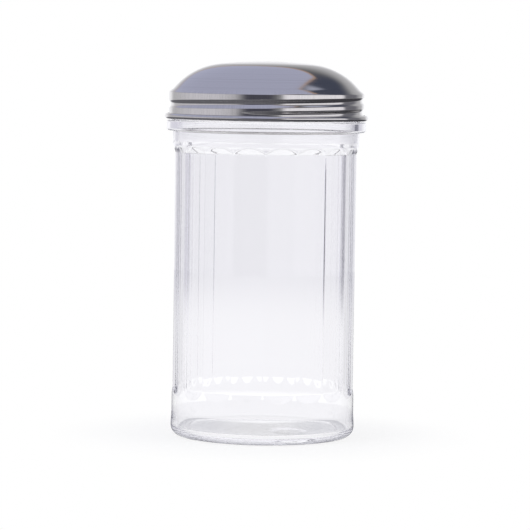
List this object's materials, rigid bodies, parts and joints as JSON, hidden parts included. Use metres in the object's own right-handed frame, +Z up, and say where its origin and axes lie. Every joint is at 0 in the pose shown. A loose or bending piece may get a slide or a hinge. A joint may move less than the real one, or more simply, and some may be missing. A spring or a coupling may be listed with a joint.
{
  "type": "sugar dispenser with flap",
  "caption": "Clear faceted jar with a domed steel screw lid, whose rear slope carries a hinged flap over a pour opening.",
  "frame": {"origin": "centre of the jar's underside, on the ring it stands on", "axes": "+Z up along the jar's axis, -Y towards the front of the picture, +Y the pouring side with the flap, +X to the right seen from the front"},
  "size_m": [0.076, 0.076, 0.1402],
  "materials": {
    "clear_plastic": "clear moulded plastic, smooth, very slightly cool",
    "lid_steel": "drawn stainless steel, polished, with faint drawing lines",
    "pin_steel": "stainless wire with peened heads",
    "flap_steel": "pressed stainless steel, polished"
  },
  "bodies": {
    "jar": {"jar": "clear_plastic"},
    "lid": {"lid_shell": "lid_steel", "hinge_pin": "pin_steel"},
    "flap": {"flap": "flap_steel"}
  },
  "joints": [
    {"name": "lid_lift", "type": "slide", "parent": "jar", "child": "lid", "axis": [0, 0, 1], "range_m": [0, 0.04]},
    {"name": "flap_hinge", "type": "hinge", "parent": "lid", "child": "flap", "pos_m": [0, 0.02554, 0.13849], "axis": [1, 0, 0], "range_deg": [0, 205]}
  ]
}
